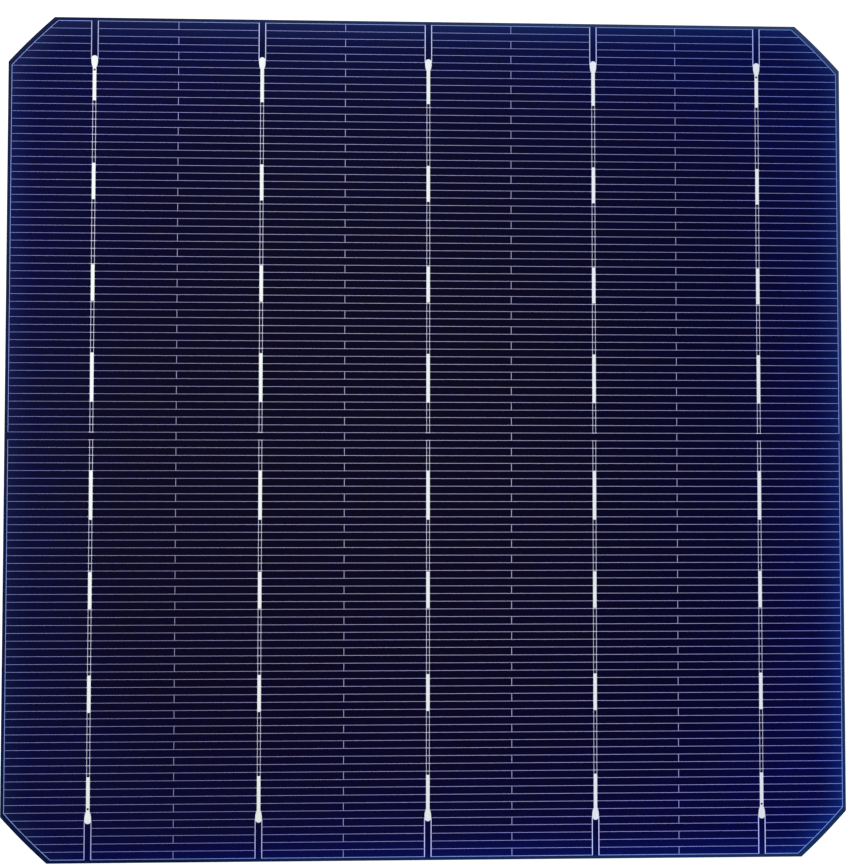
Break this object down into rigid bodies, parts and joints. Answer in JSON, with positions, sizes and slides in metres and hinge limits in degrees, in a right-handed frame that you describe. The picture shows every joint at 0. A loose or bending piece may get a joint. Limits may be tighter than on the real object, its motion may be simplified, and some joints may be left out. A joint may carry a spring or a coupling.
{
  "type": "solar cell",
  "caption": "Thin pseudo-square silicon solar cell: silver fingers and split busbars printed on the front, an aluminium rear contact with solder pads; turns sunlight into current.",
  "frame": {"origin": "middle of the rear face, on which the cell lies", "axes": "+Z out of the sunny side, Y along the busbars, X along the fingers and the cut line"},
  "size_m": [0.1568, 0.1568, 0.0002],
  "materials": {
    "coated_silicon": "textured silicon under a blue-black antireflection coating, satin",
    "finger_silver": "fired silver paste, fine domed lines",
    "busbar_silver": "fired silver paste, pale and matt",
    "aluminium_paste": "fired aluminium paste, matt grey",
    "rear_silver": "fired silver paste, matt"
  },
  "bodies": {
    "root": {"silicon_wafer": "coated_silicon", "front_finger_grid": "finger_silver", "rear_aluminium": "aluminium_paste", "front_busbar_1_upper": "busbar_silver", "front_busbar_1_lower": "busbar_silver", "front_busbar_2_upper": "busbar_silver", "front_busbar_2_lower": "busbar_silver", "front_busbar_3_upper": "busbar_silver", "front_busbar_3_lower": "busbar_silver", "front_busbar_4_upper": "busbar_silver", "front_busbar_4_lower": "busbar_silver", "front_busbar_5_upper": "busbar_silver", "front_busbar_5_lower": "busbar_silver", "rear_pads_1_upper": "rear_silver", "rear_pads_1_lower": "rear_silver", "rear_pads_2_upper": "rear_silver", "rear_pads_2_lower": "rear_silver", "rear_pads_3_upper": "rear_silver", "rear_pads_3_lower": "rear_silver", "rear_pads_4_upper": "rear_silver", "rear_pads_4_lower": "rear_silver", "rear_pads_5_upper": "rear_silver", "rear_pads_5_lower": "rear_silver"}
  },
  "joints": []
}
